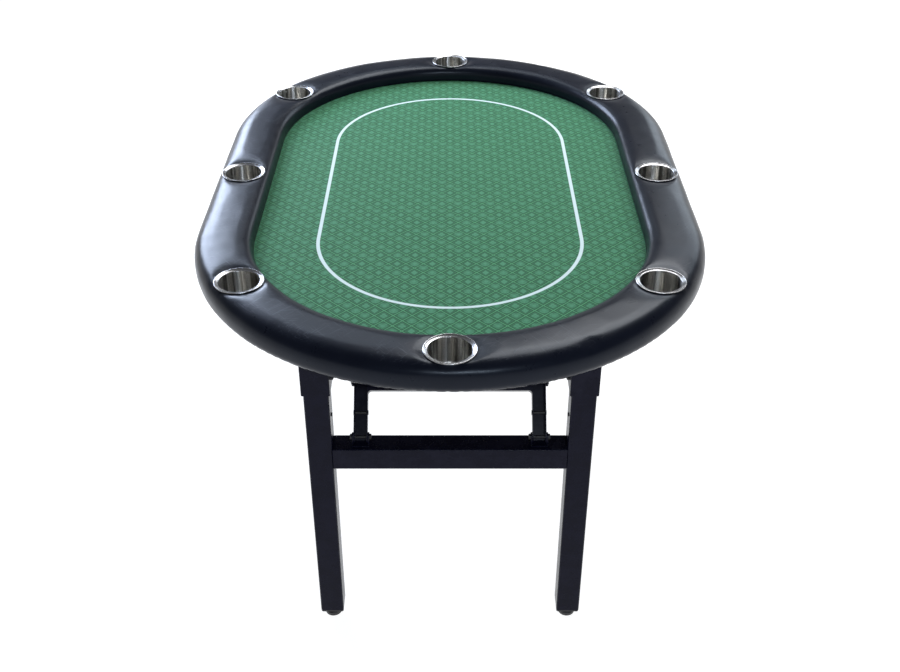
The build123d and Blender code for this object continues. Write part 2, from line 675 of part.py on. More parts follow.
os.makedirs("parts", exist_ok=True)
for node, shape in {**top_nodes(), **frame_nodes()}.items():
    export_step(shape, f"parts/{node}.step")
print("brace angle", round(BRACE_ANGLE, 3), "link length", round(LINK_LENGTH, 3))
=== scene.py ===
import json
import math

import bpy
import numpy as np
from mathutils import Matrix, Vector, noise


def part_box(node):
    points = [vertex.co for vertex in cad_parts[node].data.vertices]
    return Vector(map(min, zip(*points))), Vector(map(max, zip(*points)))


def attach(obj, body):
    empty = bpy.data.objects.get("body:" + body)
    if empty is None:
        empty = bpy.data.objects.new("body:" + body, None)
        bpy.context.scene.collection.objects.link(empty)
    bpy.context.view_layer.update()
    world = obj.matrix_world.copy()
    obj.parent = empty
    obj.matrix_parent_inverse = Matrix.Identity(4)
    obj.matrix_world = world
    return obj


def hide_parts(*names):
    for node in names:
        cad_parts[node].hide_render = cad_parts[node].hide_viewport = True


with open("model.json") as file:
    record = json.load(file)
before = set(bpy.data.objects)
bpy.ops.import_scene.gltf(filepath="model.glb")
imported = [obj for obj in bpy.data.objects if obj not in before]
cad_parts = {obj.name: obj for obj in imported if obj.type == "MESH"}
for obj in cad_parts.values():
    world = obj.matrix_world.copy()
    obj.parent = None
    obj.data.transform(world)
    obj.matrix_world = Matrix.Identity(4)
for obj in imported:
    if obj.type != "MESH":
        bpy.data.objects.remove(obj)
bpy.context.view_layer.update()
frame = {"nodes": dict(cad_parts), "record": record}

# A folding poker table: the looks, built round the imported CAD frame. Metres, +Z up, near end at -Y.
# Every plan outline is two half circles, about (0, +-STRAIGHT_HALF), joined by straight sides.

COVER_LOW, COVER_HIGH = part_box("rail_cover")
CLOTH_LOW, CLOTH_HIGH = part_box("speed_cloth")
PAD_LOW, PAD_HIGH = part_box("playfield_pad")
STRAIGHT_HALF = COVER_HIGH.y - COVER_HIGH.x
CUPS = [f"cup_holder_{n}" for n in range(1, 9)]
ENDS = ("near", "far")
SIDES = ("left", "right")

# Rail
RAIL_OUTER = COVER_HIGH.x
RAIL_WIDTH = 0.125
RAIL_INNER = RAIL_OUTER - RAIL_WIDTH
RAIL_FOOT = CLOTH_HIGH.z + 0.0003
RAIL_LEAN = 0.004
RAIL_CROWN = 0.0022
RAIL_CELL = 0.0065
INNER_ROUND = 0.018
SHOULDER_ROUND = 0.030
UNDER_ROUND = 0.020
TAIL_RADIUS = 0.524
VINYL_THICKNESS = 0.0012
CUP_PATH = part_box("cup_holder_3")[0].x + 0.0508
CUP_LIP = 0.0508
CUP_HOLE = 0.0465
CUP_DIP = 0.0030
CUP_DIP_REACH = 0.013
CUP_SEATED = 0.0004  # how far the skin sits under the rail's top at a flange
DIMPLE_WIDTH = 0.0035
CUP_BODY = 0.0425
CUP_WALL = 0.0006
CUP_FOOT_ROUND = 0.0052
CUP_ROLL = 0.0014
CUP_BEAD = 0.0012
LIP_HEIGHT = 0.0030
CUP_SEGMENTS = 128
CUP_TURN = 47  # degrees from one cup to the next, so that their brushing differs
FOAM_INSET = 0.004
FOAM_THICKNESS = 0.006

# Stretched vinyl
INFLATE_PRESSURE = 2.8
INFLATE_CAP = 0.0024
INFLATE_FRAMES = 20
STAPLE_SPACING = 0.019
PUCKER_WIDTH = 0.0032
PUCKER_DEPTH = 0.0017
PUCKER_HEIGHT = 0.017
GATHER_DEPTH = 0.00035
GATHER_REACH = 0.0055
SWELL_DEPTH = 0.0007
SCRATCH_LENGTH = 26.0
SCRATCHES = ((430.0, 47, 0.64), (360.0, 128, 0.65), (500.0, 8, 0.65))  # scale, degrees, threshold

# Cloth pattern
DIAMOND_PITCH = 0.0373
LINE_RADIUS = 0.289
LINE_WIDTH = 0.0078
LINE_BLUR = 0.0004
# How far in from the rail the cloth's painted shadow reaches
PAINTED_SHADOW_REACH = 0.045
MARK_SIZE = 0.25
WARP_PITCH = 0.0009
WEFT_PITCH = 0.0011
PLY_PITCH = 0.0036
CLOTH_EDGE_ROUND = 0.0004
PAD_EDGE_ROUND = 0.002
SLAB_COLUMNS = 360
SLAB_RINGS = 14


# ---- Materials ----


class Nodes:
    """A short way to write a material's node tree."""

    def __init__(self, name):
        self.material = bpy.data.materials.new(name)
        self.material.use_nodes = True
        self.tree = self.material.node_tree
        self.shader = self.tree.nodes["Principled BSDF"]

    def add(self, kind, settings=None, **inputs):
        """A node of a kind, with its properties and its inputs, as values or as other nodes' outputs."""
        node = self.tree.nodes.new(kind)
        for key, value in (settings or {}).items():
            setattr(node, key, value)
        for key, value in inputs.items():
            self.feed(node, key.replace("_", " "), value)
        return node

    def feed(self, node, key, value):
        socket = node.inputs[key]
        if isinstance(value, bpy.types.NodeSocket):
            self.tree.links.new(value, socket)
        else:
            socket.default_value = value

    def math(self, operation, *values):
        node = self.tree.nodes.new("ShaderNodeMath")
        node.operation = operation
        for index, value in enumerate(values):
            self.feed(node, index, value)
        return node.outputs[0]

    def smooth(self, value, low, high, to_low=0.0, to_high=1.0):
        """A smooth step of a value between two edges."""
        node = self.add("ShaderNodeMapRange", {"interpolation_type": "SMOOTHSTEP"}, Value=value)
        for key, number in zip(("From Min", "From Max", "To Min", "To Max"), (low, high, to_low, to_high)):
            node.inputs[key].default_value = number
        return node.outputs["Result"]

    def mix(self, factor, first, second, blend="MIX"):
        node = self.tree.nodes.new("ShaderNodeMix")
        node.data_type = "RGBA"
        node.blend_type = blend
        colour_inputs = [socket for socket in node.inputs if socket.type == "RGBA"]
        self.feed(node, 0, factor)
        for socket, value in zip(colour_inputs, (first, second)):
            if isinstance(value, bpy.types.NodeSocket):
                self.tree.links.new(value, socket)
            else:
                socket.default_value = (*value, 1.0)
        return [socket for socket in node.outputs if socket.type == "RGBA"][0]

    def place(self, scale=(1, 1, 1)):
        """The point on the object, in metres, stretched."""
        point = self.add("ShaderNodeTexCoord").outputs["Object"]
        mapping = self.add("ShaderNodeMapping", Vector=point)
        mapping.inputs["Scale"].default_value = scale
        return mapping.outputs["Vector"]

    def noise(self, scale, detail=3.0, roughness=0.5, stretch=(1, 1, 1)):
        node = self.add("ShaderNodeTexNoise", Vector=self.place(stretch), Scale=scale, Detail=detail)
        node.inputs["Roughness"].default_value = roughness
        return node.outputs["Fac"]

    def streaks(self, scale, degrees):
        """Noise drawn out into fine hairs that lie along one direction in plan."""
        point = self.add("ShaderNodeTexCoord").outputs["Object"]
        mapping = self.add("ShaderNodeMapping", {"vector_type": "TEXTURE"}, Vector=point)
        mapping.inputs["Rotation"].default_value = (0, 0, math.radians(degrees))
        mapping.inputs["Scale"].default_value = (SCRATCH_LENGTH, 1, 1)
        node = self.add("ShaderNodeTexNoise", Vector=mapping.outputs["Vector"], Scale=scale, Detail=1.0)
        node.inputs["Distortion"].default_value = 0.6
        return node.outputs["Fac"]

    def cells(self, scale, feature="F1"):
        node = self.add("ShaderNodeTexVoronoi", {"feature": feature}, Vector=self.place(), Scale=scale)
        return node.outputs["Distance"]

    def upward(self):
        """The height part of the surface's direction: 1 facing up, -1 facing down."""
        normal = self.add("ShaderNodeNewGeometry").outputs["Normal"]
        return self.add("ShaderNodeSeparateXYZ", Vector=normal).outputs["Z"]

    def bump(self, height, distance, strength=1.0, under=None):
        node = self.add("ShaderNodeBump", Height=height, Distance=distance, Strength=strength)
        if under is not None:
            self.feed(node, "Normal", under)
        return node.outputs["Normal"]

    def finish(self, **inputs):
        """Set the shader's own inputs and hand back the material."""
        for key, value in inputs.items():
            if isinstance(value, tuple) and len(value) == 3:
                value = (*value, 1.0)
            self.feed(self.shader, key.replace("_", " "), value)
        return self.material


def vinyl_material():
    """Soft black upholstery vinyl: fine pebble grain, a slightly worn sheen and hair scratches."""
    n = Nodes("black_vinyl")
    cloudy = n.noise(9.0, 4.0)
    worn = n.noise(38.0, 5.0, 0.6)
    hairs = [n.smooth(n.streaks(scale, turn), low, low + 0.07) for scale, turn, low in SCRATCHES]
    scratches = n.math("MAXIMUM", n.math("MAXIMUM", hairs[0], hairs[1]), hairs[2])
    patches = n.math("MULTIPLY", n.smooth(n.upward(), 0.80, 0.95), n.smooth(n.noise(6.0, 2.0), 0.36, 0.55))
    scratches = n.math("MULTIPLY", scratches, patches)
    base = n.mix(n.smooth(cloudy, 0.3, 0.7), (0.0030, 0.0042, 0.0095), (0.0050, 0.0066, 0.0135))
    base = n.mix(n.math("MULTIPLY", scratches, 0.40), base, (0.055, 0.062, 0.080))
    rough = n.math("ADD", n.smooth(worn, 0.25, 0.75, 0.27, 0.33), n.math("MULTIPLY", scratches, 0.08))
    grain = n.cells(1500.0, "SMOOTH_F1")
    pores = n.noise(2600.0, 2.0)
    soft = n.bump(cloudy, 0.0025, 0.10)
    skin = n.bump(n.math("ADD", n.math("MULTIPLY", grain, 0.7), n.math("MULTIPLY", pores, 0.3)),
                  0.00012, 0.28, soft)
    skin = n.bump(scratches, 0.00003, 0.35, skin)
    return n.finish(Base_Color=base, Roughness=rough, Normal=skin, Specular_IOR_Level=0.16,
                    Specular_Tint=(0.75, 0.86, 1.0), Coat_Weight=0.06, Coat_Roughness=0.20)


def suit_mark(n, x, y, kind_a, kind_b):
    """Over 0 where the point (x, y) is inside a card suit's outline, which about fills a circle of radius 1.

    The cell's two parities choose the suit.
    """
    def heart(px, py):
        across, up = n.math("MULTIPLY", px, px), n.math("MULTIPLY", py, py)
        reach = n.math("SUBTRACT", n.math("ADD", across, up), 0.62)
        cube = n.math("MULTIPLY", reach, n.math("MULTIPLY", reach, reach))
        lobe = n.math("MULTIPLY", across, n.math("MULTIPLY", py, up))
        return n.math("SUBTRACT", lobe, cube)

    def disc(px, py, cx, cy, radius):
        dx = n.math("SUBTRACT", px, cx)
        dy = n.math("SUBTRACT", py, cy)
        far = n.math("SQRT", n.math("ADD", n.math("MULTIPLY", dx, dx), n.math("MULTIPLY", dy, dy)))
        return n.math("SUBTRACT", radius, far)

    side = n.math("ABSOLUTE", x)
    stem_width = n.math("MULTIPLY", n.math("SUBTRACT", 0.15, y), 0.36)
    stem = n.math("MINIMUM", n.math("SUBTRACT", stem_width, side), n.math("ADD", y, 0.95))
    flipped = n.math("SUBTRACT", 0.12, y)
    spade = n.math("MAXIMUM", heart(x, flipped), stem)
    top_leaf = n.math("MAXIMUM", disc(x, y, 0.0, 0.48, 0.40), stem)
    club = n.math("MAXIMUM", disc(side, y, 0.42, -0.12, 0.40), top_leaf)
    card_heart = heart(x, n.math("ADD", y, 0.05))
    lozenge = n.math("SUBTRACT", 1.02, n.math("ADD", n.math("MULTIPLY", side, 1.25), n.math("ABSOLUTE", y)))

    def pick(parity, first, second):
        kept = n.math("MULTIPLY", first, n.math("SUBTRACT", 1.0, parity))
        return n.math("ADD", kept, n.math("MULTIPLY", second, parity))

    return pick(kind_a, pick(kind_b, spade, card_heart), pick(kind_b, club, lozenge))


def speed_cloth_material():
    """Suited speed cloth: a lattice of diamonds with a card suit in each, the printed betting line, and a
    painted shadow along the rail.
    """
    n = Nodes("suited_speed_cloth")
    point = n.add("ShaderNodeSeparateXYZ", Vector=n.place()).outputs
    x, y = point["X"], point["Y"]
    u, v = n.math("DIVIDE", x, DIAMOND_PITCH), n.math("DIVIDE", y, DIAMOND_PITCH)
    along = n.math("ADD", n.math("ADD", u, v), 0.5)
    across = n.math("ADD", n.math("SUBTRACT", u, v), 0.5)
    cell_a, cell_b = n.math("FLOOR", along), n.math("FLOOR", across)
    in_a = n.math("SUBTRACT", n.math("SUBTRACT", along, cell_a), 0.5)
    in_b = n.math("SUBTRACT", n.math("SUBTRACT", across, cell_b), 0.5)
    to_edge = n.math("SUBTRACT", 0.5, n.math("MAXIMUM", n.math("ABSOLUTE", in_a), n.math("ABSOLUTE", in_b)))
    mark_x = n.math("DIVIDE", n.math("ADD", in_a, in_b), 2 * MARK_SIZE)
    mark_y = n.math("DIVIDE", n.math("SUBTRACT", in_a, in_b), 2 * MARK_SIZE)
    parity_a, parity_b = n.math("FLOORED_MODULO", cell_a, 2.0), n.math("FLOORED_MODULO", cell_b, 2.0)
    mark = n.smooth(suit_mark(n, mark_x, mark_y, parity_a, parity_b), -0.20, 0.20)
    lattice = n.smooth(to_edge, 0.030, 0.062, 1.0, 0.0)
    groove = n.math("SUBTRACT", n.smooth(to_edge, 0.040, 0.070), n.smooth(to_edge, 0.115, 0.160))
    ring = n.math("MULTIPLY", n.smooth(to_edge, 0.170, 0.230), n.math("SUBTRACT", 1.0, mark))

    yarn = n.noise(900.0, 2.0)
    patchy = n.noise(7.0, 3.0)
    ground = n.mix(n.smooth(patchy, 0.3, 0.7), (0.035, 0.162, 0.073), (0.043, 0.182, 0.085))
    colour = n.mix(n.math("MULTIPLY", groove, 0.95), ground, (0.009, 0.060, 0.025))
    colour = n.mix(n.math("MULTIPLY", ring, 0.85), colour, (0.013, 0.082, 0.035))
    colour = n.mix(n.math("MULTIPLY", lattice, 0.95), colour, (0.068, 0.285, 0.125))
    colour = n.mix(n.math("MULTIPLY", mark, 0.85), colour, (0.068, 0.262, 0.140))
    colour = n.mix(n.smooth(yarn, 0.35, 0.65, 0.0, 0.22), colour, (0.012, 0.070, 0.038))

    end_y = n.math("MAXIMUM", n.math("SUBTRACT", n.math("ABSOLUTE", y), STRAIGHT_HALF), 0.0)
    radius = n.math("SQRT", n.math("ADD", n.math("MULTIPLY", x, x), n.math("MULTIPLY", end_y, end_y)))
    off_line = n.math("ABSOLUTE", n.math("SUBTRACT", radius, LINE_RADIUS))
    ink = n.smooth(off_line, LINE_WIDTH / 2 - LINE_BLUR, LINE_WIDTH / 2 + LINE_BLUR, 1.0, 0.0)
    worn_ink = n.math("MULTIPLY", ink, n.smooth(yarn, 0.1, 0.45, 0.90, 1.0))
    colour = n.mix(worn_ink, colour, (0.60, 0.72, 0.73))
    # Painted shadow: the cloth's colour darkens towards the rail's foot, in place of the rail's contact
    # shade
    shade = n.smooth(radius, RAIL_INNER - PAINTED_SHADOW_REACH, RAIL_INNER, 0.0, 0.32)
    colour = n.mix(shade, colour, (0.006, 0.028, 0.016))

    warp = n.math("SINE", n.math("MULTIPLY", n.math("ADD", x, y), 2 * math.pi / WARP_PITCH))
    weft = n.math("SINE", n.math("MULTIPLY", n.math("SUBTRACT", x, y), 2 * math.pi / WEFT_PITCH))
    weave = n.math("ADD", n.math("MULTIPLY", warp, weft), n.math("MULTIPLY", yarn, 0.8))
    normal = n.bump(weave, 0.00012, 0.30)
    pattern = n.math("ADD", n.math("MULTIPLY", mark, 0.6), n.math("SUBTRACT", lattice, groove))
    normal = n.bump(pattern, 0.00018, 0.35, normal)
    rough = n.smooth(yarn, 0.3, 0.7, 0.66, 0.80)
    return n.finish(Base_Color=colour, Roughness=rough, Normal=normal, Specular_IOR_Level=0.16,
                    Sheen_Weight=0.06, Sheen_Roughness=0.45, Sheen_Tint=(0.75, 1.0, 0.88))


def stainless_material():
    """Cup steel, brushed up and down, with bright and dark stripes round the wall: partly polishing
    variation, partly painted reflections.
    """
    n = Nodes("brushed_stainless")
    point = n.add("ShaderNodeSeparateXYZ", Vector=n.place()).outputs
    angle = n.math("ARCTAN2", point["Y"], point["X"])
    ring = n.add("ShaderNodeCombineXYZ")
    n.feed(ring, "X", n.math("COSINE", angle))
    n.feed(ring, "Y", n.math("SINE", angle))
    n.feed(ring, "Z", n.math("MULTIPLY", point["Z"], 0.03))
    # Painted reflections: wide bright and dark stripes in the colour round the wall, partly standing for
    # polishing variation
    painted_reflection_bands = n.add("ShaderNodeTexNoise", Vector=ring.outputs[0], Scale=3.4, Detail=2.0)
    hair = n.add("ShaderNodeTexNoise", Vector=ring.outputs[0], Scale=95.0, Detail=3.0)
    painted_reflection_band, line = painted_reflection_bands.outputs["Fac"], hair.outputs["Fac"]
    tone = n.mix(n.smooth(painted_reflection_band, 0.44, 0.58), (0.24, 0.235, 0.22), (0.84, 0.83, 0.80))
    tone = n.mix(n.smooth(line, 0.42, 0.62, 0.0, 0.55), tone, (0.22, 0.215, 0.20))
    rough = n.smooth(line, 0.3, 0.7, 0.25, 0.31)
    normal = n.bump(line, 0.00001, 0.10)
    tangent = n.add("ShaderNodeTangent", {"direction_type": "RADIAL", "axis": "Z"}).outputs[0]
    return n.finish(Base_Color=tone, Metallic=1.0, Roughness=rough, Normal=normal, Tangent=tangent,
                    Anisotropic=0.85, Anisotropic_Rotation=0.25)


def lip_material():
    """The cups' rolled lips: polished stainless with fine handling scratches."""
    n = Nodes("polished_stainless")
    scuff = n.noise(900.0, 3.0, 0.6)
    tone = n.mix(n.smooth(scuff, 0.3, 0.7), (0.33, 0.33, 0.34), (0.40, 0.40, 0.41))
    return n.finish(Base_Color=tone, Metallic=1.0, Roughness=n.smooth(scuff, 0.3, 0.7, 0.20, 0.27),
                    Normal=n.bump(scuff, 0.00001, 0.1))


def powder_coat_material():
    """Satin blue-black powder coat with a fine orange peel and faint rub marks on edges."""
    n = Nodes("powder_coat")
    peel = n.cells(520.0, "SMOOTH_F1")
    fleck = n.noise(2200.0, 2.0)
    rubbed = n.noise(26.0, 5.0, 0.65)
    edge = n.smooth(n.add("ShaderNodeNewGeometry").outputs["Pointiness"], 0.52, 0.60)
    wear = n.math("MULTIPLY", edge, n.smooth(rubbed, 0.45, 0.7))
    base = n.mix(n.smooth(rubbed, 0.3, 0.7), (0.0022, 0.0025, 0.0095), (0.0038, 0.0042, 0.0140))
    base = n.mix(n.math("MULTIPLY", wear, 0.5), base, (0.040, 0.042, 0.055))
    rough = n.math("ADD", n.smooth(rubbed, 0.3, 0.7, 0.22, 0.29), n.math("MULTIPLY", fleck, 0.04))
    normal = n.bump(n.math("ADD", peel, n.math("MULTIPLY", fleck, 0.25)), 0.00010, 0.22)
    return n.finish(Base_Color=base, Roughness=rough, Normal=normal, Specular_IOR_Level=0.10)


def black_oxide_material():
    n = Nodes("black_oxide")
    blotch = n.noise(300.0, 4.0, 0.6)
    base = n.mix(n.smooth(blotch, 0.3, 0.7), (0.012, 0.012, 0.014), (0.030, 0.029, 0.030))
    return n.finish(Base_Color=base, Metallic=0.6, Roughness=n.smooth(blotch, 0.3, 0.7, 0.32, 0.50),
                    Normal=n.bump(blotch, 0.00008, 0.3))


def zinc_material():
    n = Nodes("zinc_plate")
    crystal = n.cells(700.0)
    blotch = n.noise(240.0, 4.0, 0.6)
    base = n.mix(n.smooth(blotch, 0.3, 0.7), (0.42, 0.43, 0.45), (0.62, 0.63, 0.65))
    rough = n.smooth(n.math("ADD", blotch, n.math("MULTIPLY", crystal, 0.3)), 0.3, 0.8, 0.25, 0.42)
    return n.finish(Base_Color=base, Metallic=1.0, Roughness=rough, Normal=n.bump(crystal, 0.00005, 0.25))


def plastic_material():
    """Moulded black plastic with a spark-eroded texture."""
    n = Nodes("moulded_plastic")
    grain = n.noise(1800.0, 3.0, 0.6)
    scuff = n.noise(60.0, 4.0, 0.6)
    base = n.mix(n.smooth(scuff, 0.35, 0.7), (0.010, 0.010, 0.011), (0.024, 0.024, 0.026))
    return n.finish(Base_Color=base, Roughness=n.smooth(scuff, 0.3, 0.7, 0.44, 0.60),
                    Normal=n.bump(grain, 0.00010, 0.35))


def plywood_material():
    """Plywood: black-stained faces that still show the long grain, and bare glued plies on the edges."""
    n = Nodes("plywood")
    broad = n.noise(11.0, 4.0, 0.6, (1.0, 0.10, 1.0))
    fibre = n.noise(120.0, 4.0, 0.65, (1.0, 0.025, 1.0))
    face = n.mix(n.smooth(broad, 0.3, 0.7), (0.42, 0.27, 0.145), (0.56, 0.39, 0.225))
    face = n.mix(n.smooth(fibre, 0.45, 0.7, 0.0, 0.55), face, (0.26, 0.155, 0.080))
    height = n.add("ShaderNodeSeparateXYZ", Vector=n.place()).outputs["Z"]
    ply = n.math("SINE", n.math("MULTIPLY", height, 2 * math.pi / PLY_PITCH))
    edge_tone = n.mix(n.smooth(ply, -0.3, 0.3), (0.30, 0.185, 0.10), (0.52, 0.36, 0.21))
    level = n.math("ABSOLUTE", n.upward())
    face = n.mix(0.94, face, (0.010, 0.010, 0.011))
    colour = n.mix(n.smooth(level, 0.3, 0.6), edge_tone, face)
    return n.finish(Base_Color=colour, Roughness=n.smooth(fibre, 0.3, 0.7, 0.55, 0.72),
                    Normal=n.bump(fibre, 0.00025, 0.4))


def foam_material():
    n = Nodes("closed_cell_foam")
    cells = n.cells(900.0)
    cloudy = n.noise(20.0, 3.0)
    base = n.mix(n.smooth(cloudy, 0.3, 0.7), (0.30, 0.30, 0.29), (0.42, 0.42, 0.40))
    base = n.mix(n.smooth(cells, 0.1, 0.5, 0.35, 0.0), base, (0.16, 0.16, 0.155))
    return n.finish(Base_Color=base, Roughness=n.smooth(cells, 0.1, 0.6, 0.78, 0.92),
                    Normal=n.bump(cells, 0.0003, 0.5))


def floor_material():
    n = Nodes("pale_floor")
    cloudy = n.noise(0.6, 3.0)
    base = n.mix(n.smooth(cloudy, 0.3, 0.7), (0.34, 0.34, 0.338), (0.36, 0.36, 0.358))
    return n.finish(Base_Color=base, Roughness=0.75, Specular_IOR_Level=0.1,
                    Emission_Color=(1.0, 1.0, 0.998), Emission_Strength=FLOOR_GLOW)


# ---- Mesh helpers ----


def mesh_object(name, points, faces):
    mesh = bpy.data.meshes.new(name)
    mesh.from_pydata([tuple(point) for point in points], [], [tuple(face) for face in faces])
    mesh.validate()
    mesh.polygons.foreach_set("use_smooth", [True] * len(mesh.polygons))
    piece = bpy.data.objects.new(name, mesh)
    bpy.context.scene.collection.objects.link(piece)
    return piece


def apply_modifiers(piece):
    """Bake a piece's modifiers into its mesh."""
    graph = bpy.context.evaluated_depsgraph_get()
    baked = bpy.data.meshes.new_from_object(piece.evaluated_get(graph))
    piece.modifiers.clear()
    piece.data = baked


def paint(piece, *materials):
    piece.data.materials.clear()
    for material in materials:
        piece.data.materials.append(material)


def rounded_line(corners, step):
    """Points along a line through (a, b, corner radius) corners, with its corners rounded."""
    points = []
    for index, (a, b, radius) in enumerate(corners):
        here = Vector((a, b))
        if radius == 0:
            points.append(here)
            continue
        back = (Vector(corners[index - 1][:2]) - here).normalized()
        ahead = (Vector(corners[index + 1][:2]) - here).normalized()
        half_turn = back.angle(ahead) / 2
        centre = here + (back + ahead).normalized() * (radius / math.sin(half_turn))
        start = here + back * (radius / math.tan(half_turn)) - centre
        sweep = math.pi - 2 * half_turn
        sign = 1 if start.x * ahead.y - start.y * ahead.x > 0 else -1
        count = max(3, round(sweep * radius / step * 2))
        for k in range(count + 1):
            angle = sign * sweep * k / count
            turned = (start.x * math.cos(angle) - start.y * math.sin(angle),
                      start.x * math.sin(angle) + start.y * math.cos(angle))
            points.append(centre + Vector(turned))
    return np.array([tuple(point) for point in points])


def evenly(points, count):
    """The same line as a number of evenly spaced points."""
    steps = np.linalg.norm(np.diff(points, axis=0), axis=1)
    along = np.concatenate([[0], np.cumsum(steps)])
    wanted = np.linspace(0, along[-1], count)
    return np.column_stack([np.interp(wanted, along, points[:, k]) for k in range(points.shape[1])])


def plan_length(radius):
    """The distance round the plan at a radius."""
    return 4 * STRAIGHT_HALF + 2 * math.pi * radius


def plan_frames(count, radius):
    """Evenly spaced (centre x, centre y, outward x, outward y) round the plan at a radius."""
    arc = math.pi * radius
    total = plan_length(radius)
    frames = []
    for k in range(count):
        run = total * k / count
        if run < 2 * STRAIGHT_HALF:
            frames.append((0, -STRAIGHT_HALF + run, 1, 0))
        elif run < 2 * STRAIGHT_HALF + arc:
            angle = (run - 2 * STRAIGHT_HALF) / radius
            frames.append((0, STRAIGHT_HALF, math.cos(angle), math.sin(angle)))
        elif run < 4 * STRAIGHT_HALF + arc:
            frames.append((0, 3 * STRAIGHT_HALF + arc - run, -1, 0))
        else:
            angle = math.pi + (run - 4 * STRAIGHT_HALF - arc) / radius
            frames.append((0, -STRAIGHT_HALF, math.cos(angle), math.sin(angle)))
    return np.array(frames, float)


# ---- Padded rail ----


def rail_section(inset):
    """The rail's skin from the foot of its inner wall, over the top, to its folded-under edge."""
    top = COVER_HIGH.z - inset
    under = COVER_LOW.z + inset
    inner, outer = RAIL_INNER + inset, RAIL_OUTER - inset
    line = rounded_line([
        (inner, RAIL_FOOT + inset, 0),
        (inner + RAIL_LEAN, top, INNER_ROUND),
        (outer, top, SHOULDER_ROUND - inset),
        (outer, under, UNDER_ROUND - inset),
        (TAIL_RADIUS, under, 0),
    ], 0.002)
    line = evenly(line, round(0.215 / RAIL_CELL))
    share = np.clip((line[:, 0] - inner) / (outer - inner), 0, 1)
    on_top = np.clip((line[:, 1] - (top - 0.02)) / 0.02, 0, 1)
    line[:, 1] += RAIL_CROWN * np.sin(math.pi * share) ** 0.8 * on_top
    return line


def cup_centres():
    centres = []
    for cup in CUPS:
        low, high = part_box(cup)
        centres.append(((low.x + high.x) / 2, (low.y + high.y) / 2))
    return np.array(centres)


def from_cups(points):
    """Each point's plan distance from the nearest cup's axis, that cup's number, and the angle round it."""
    offsets = points[:, None, :2] - cup_centres()[None]
    far = np.linalg.norm(offsets, axis=2)
    nearest = far.argmin(axis=1)
    rows = np.arange(len(points))
    picked = offsets[rows, nearest]
    return far[rows, nearest], nearest, np.arctan2(picked[:, 1], picked[:, 0])


def rail_grid(inset):
    """The rail's skin as a closed ring of rows, with a round hole at each cup.

    Gives the points, the faces, each point's row, which points are on a hole's rim, and the number of rows.
    """
    section = rail_section(inset)
    frames = plan_frames(round(plan_length(CUP_PATH) / RAIL_CELL), CUP_PATH)
    rows, columns = len(section), len(frames)
    centre, outward = frames[:, 0:2], frames[:, 2:4]
    plan = centre[:, None, :] + outward[:, None, :] * section[None, :, 0:1]
    height = np.broadcast_to(section[None, :, 1:2], (columns, rows, 1))
    points = np.concatenate([plan, height], axis=2).reshape(-1, 3)
    row_of = np.tile(np.arange(rows), columns)
    faces = []
    for k in range(columns):
        here, after = k * rows, ((k + 1) % columns) * rows
        faces += [(here + j, here + j + 1, after + j + 1, after + j) for j in range(rows - 1)]
    faces = np.array(faces)

    on_top = points[:, 2] > COVER_HIGH.z - inset - 0.008
    far, nearest, angle = from_cups(points)
    in_hole = on_top & (far < CUP_HOLE)
    faces = faces[~in_hole[faces].all(axis=1)]
    used = np.zeros(len(points), bool)
    used[faces.ravel()] = True
    rim = in_hole & used
    centres = cup_centres()[nearest]
    points[rim, 0] = centres[rim, 0] + CUP_HOLE * np.cos(angle[rim])
    points[rim, 1] = centres[rim, 1] + CUP_HOLE * np.sin(angle[rim])
    index = np.cumsum(used) - 1
    return points[used], index[faces], row_of[used], rim[used], rows


def settle_round_cups(points, inset):
    """Press the skin down to the cups' flanges."""
    far, _, angle = from_cups(points)
    on_top = points[:, 2] > COVER_HIGH.z - inset - 0.012
    share = np.clip((far - CUP_LIP) / CUP_DIP_REACH, 0, 1)
    press = (1 - share * share * (3 - 2 * share)) * on_top
    target = COVER_HIGH.z - inset - CUP_SEATED
    crown = np.maximum(points[:, 2] - target, 0)
    points[:, 2] -= press * crown
    dimple = np.exp(-((far - CUP_LIP - 0.002) / DIMPLE_WIDTH) ** 2) * on_top * CUP_DIP * 0.25
    points[:, 2] -= dimple
    return points


def inflate(piece, pinned):
    """Blow the skin up a little against its pinned seams, as stretched vinyl over foam."""
    rest = np.array([vertex.co for vertex in piece.data.vertices])
    group = piece.vertex_groups.new(name="seams")
    group.add([int(k) for k in np.flatnonzero(pinned)], 1.0, "REPLACE")
    cloth = piece.modifiers.new("cloth", "CLOTH")
    settings = cloth.settings
    settings.quality = 6
    settings.mass = 0.35
    settings.tension_stiffness = 22
    settings.compression_stiffness = 22
    settings.shear_stiffness = 12
    settings.bending_stiffness = 3.5
    settings.air_damping = 3
    settings.use_pressure = True
    settings.uniform_pressure_force = INFLATE_PRESSURE
    settings.vertex_group_mass = "seams"
    settings.effector_weights.gravity = 0
    cloth.collision_settings.use_collision = False
    scene = bpy.context.scene
    for number in range(1, INFLATE_FRAMES + 1):
        scene.frame_set(number)
    graph = bpy.context.evaluated_depsgraph_get()
    shown = piece.evaluated_get(graph)
    blown = np.array([vertex.co for vertex in shown.data.vertices])
    piece.modifiers.remove(cloth)
    scene.frame_set(1)
    moved = blown - rest
    length = np.linalg.norm(moved, axis=1, keepdims=True)
    moved *= np.minimum(1, INFLATE_CAP / np.maximum(length, 1e-9))
    piece.data.vertices.foreach_set("co", (rest + moved).ravel())
    piece.data.update()


def vertex_arrays(piece):
    count = len(piece.data.vertices)
    points, normals = np.empty(count * 3), np.empty(count * 3)
    piece.data.vertices.foreach_get("co", points)
    piece.data.vertices.foreach_get("normal", normals)
    return points.reshape(-1, 3), normals.reshape(-1, 3)


